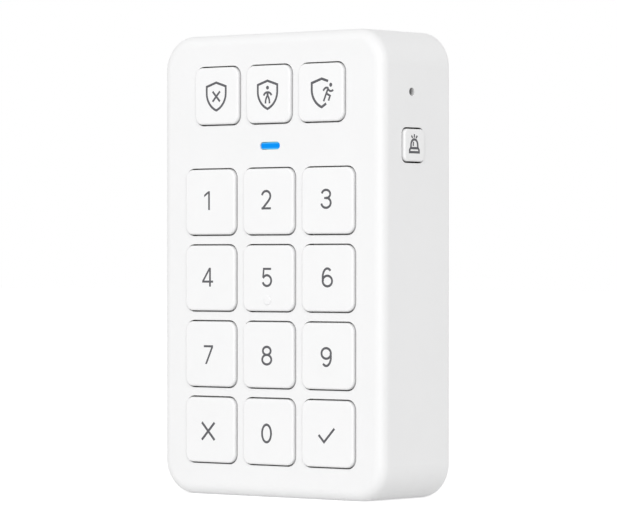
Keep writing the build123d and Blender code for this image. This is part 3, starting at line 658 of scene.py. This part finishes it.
def lay_ink(name, body, pieces, plane):
    """One closed mesh over the union of flat pieces. plane maps (u, v, height) in mm to a point."""
    corners, faces = [], []
    for piece in pieces:
        outline = [Vector(p) for p in piece]
        if sum(a.cross(b) for a, b in zip(outline, outline[1:] + outline[:1])) < 0:
            outline.reverse()
        faces.append(list(range(len(corners), len(corners) + len(outline))))
        corners += outline
    cut = delaunay_2d_cdt(corners, [], faces, 0, 1e-5, True)
    flat_corners, flat_faces, sources = cut[0], cut[2], cut[5]
    mesh = bmesh.new()
    verts = [mesh.verts.new(plane(p.x, p.y, -INK_DEPTH)) for p in flat_corners]
    for face, source in zip(flat_faces, sources):
        if source:
            mesh.faces.new([verts[i] for i in face])
    bmesh.ops.delete(mesh, geom=[v for v in mesh.verts if not v.link_faces], context="VERTS")
    lift = plane(0, 0, INK_RISE) - plane(0, 0, -INK_DEPTH)
    raised = bmesh.ops.extrude_face_region(mesh, geom=mesh.faces[:], use_keep_orig=True)
    for item in raised["geom"]:
        if isinstance(item, bmesh.types.BMVert):
            item.co += lift
    bmesh.ops.recalc_face_normals(mesh, faces=mesh.faces[:])
    add_piece(name, mesh, ink, body)


for symbol, pieces in {**digits(), **pictograms()}.items():
    key = "key_" + symbol
    lay_ink("legend_" + symbol, key, pieces, key_face(key, SHIFTS[symbol]))
lay_ink("legend_siren", "panic_button", siren(), panic_face(SHIFTS["siren"]))

# --- Floor, light and camera ----------------------------------------------------------------
MIDDLE = (SHELL_LOW + SHELL_HIGH) / 2
ROOM_LIGHT = 0.633  # the room's strength as light; it is seen as 1
FLOOR_TONE = 0.588  # the floor's colour as light, beside 1 as it is seen
FLOOR_GLOW = 0.25, 0.5  # the floor's emission as light and as it is seen
BOX_SIZE = 2.0
BOX_DISTANCE = 3.0
CAMERA_AZIMUTH = 39.8
CAMERA_DISTANCE = 0.956


def seen_directly(tree):
    """1 for the camera's rays and for reflections, 0 for the rays that bring light."""
    path = tree.nodes.new("ShaderNodeLightPath")
    seen = path.outputs["Is Camera Ray"]
    for kind in ("Is Glossy Ray", "Is Transmission Ray"):
        either = tree.nodes.new("ShaderNodeMath")
        either.operation = "MAXIMUM"
        tree.links.new(seen, either.inputs[0])
        tree.links.new(path.outputs[kind], either.inputs[1])
        seen = either.outputs["Value"]
    return seen


def choose(tree, seen, as_light, as_seen):
    """as_light for rays that bring light, as_seen for the others."""
    mapped = tree.nodes.new("ShaderNodeMapRange")
    mapped.inputs["To Min"].default_value = as_light
    mapped.inputs["To Max"].default_value = as_seen
    tree.links.new(seen, mapped.inputs["Value"])
    return mapped.outputs["Result"]


def make_floor():
    """A wide white floor. It shows as white to the camera and keeps the keypad's shadow."""
    bpy.ops.mesh.primitive_plane_add(size=12, location=(MIDDLE.x, MIDDLE.y, SHELL_LOW.z))
    floor = bpy.context.object
    floor.name = "floor"
    shader = Shader("floor_paint", (0.85, 0.85, 0.85), 0.9).mottle(40, 0.004)
    shader.set(Specular_IOR_Level=0.0, Emission_Color=(1, 1, 1, 1))
    seen = seen_directly(shader.tree)
    shader.tone(choose(shader.tree, seen, FLOOR_TONE, 1.0))
    shader.link(choose(shader.tree, seen, *FLOOR_GLOW), shader.bsdf.inputs["Emission Strength"])
    floor.data.materials.append(shader.material)


def make_world():
    """A soft white room: full white to the camera and in reflections, dimmer as light."""
    world = bpy.data.worlds.new("studio")
    bpy.context.scene.world = world
    world.use_nodes = True
    tree = world.node_tree
    background = tree.nodes["Background"]
    background.inputs["Color"].default_value = (1, 1, 1, 1)
    tree.links.new(choose(tree, seen_directly(tree), ROOM_LIGHT, 1.0), background.inputs["Strength"])


def place_facing(thing, azimuth, elevation, distance):
    """Set an object at that distance, aimed at the keypad's middle. Azimuth 0 is in front, 90 to its right."""
    a, e = math.radians(azimuth), math.radians(elevation)
    direction = Vector((math.sin(a) * math.cos(e), -math.cos(a) * math.cos(e), math.sin(e)))
    thing.location = MIDDLE + direction * distance
    thing.rotation_euler = direction.to_track_quat("Z", "Y").to_euler()
    bpy.context.scene.collection.objects.link(thing)


def softbox(name, azimuth, elevation, power):
    """A square area light."""
    light = bpy.data.lights.new(name, "AREA")
    light.shape = "SQUARE"
    light.size = BOX_SIZE
    light.energy = power
    place_facing(bpy.data.objects.new(name, light), azimuth, elevation, BOX_DISTANCE)


def make_camera():
    """A long lens at the height of the keypad's middle, to its right."""
    camera = bpy.data.cameras.new("camera")
    camera.sensor_width = 36
    camera.lens = 226.6
    camera.shift_x = 0.0057
    camera.clip_start, camera.clip_end = 0.05, 50
    seat = bpy.data.objects.new("camera", camera)
    place_facing(seat, CAMERA_AZIMUTH, 0, CAMERA_DISTANCE)
    bpy.context.scene.camera = seat


make_floor()
make_world()
softbox("key_light", 38, 16, 45.4)
softbox("fill_light", -40, 20, 10.2)
make_camera()
bpy.context.scene.view_settings.view_transform = "Standard"
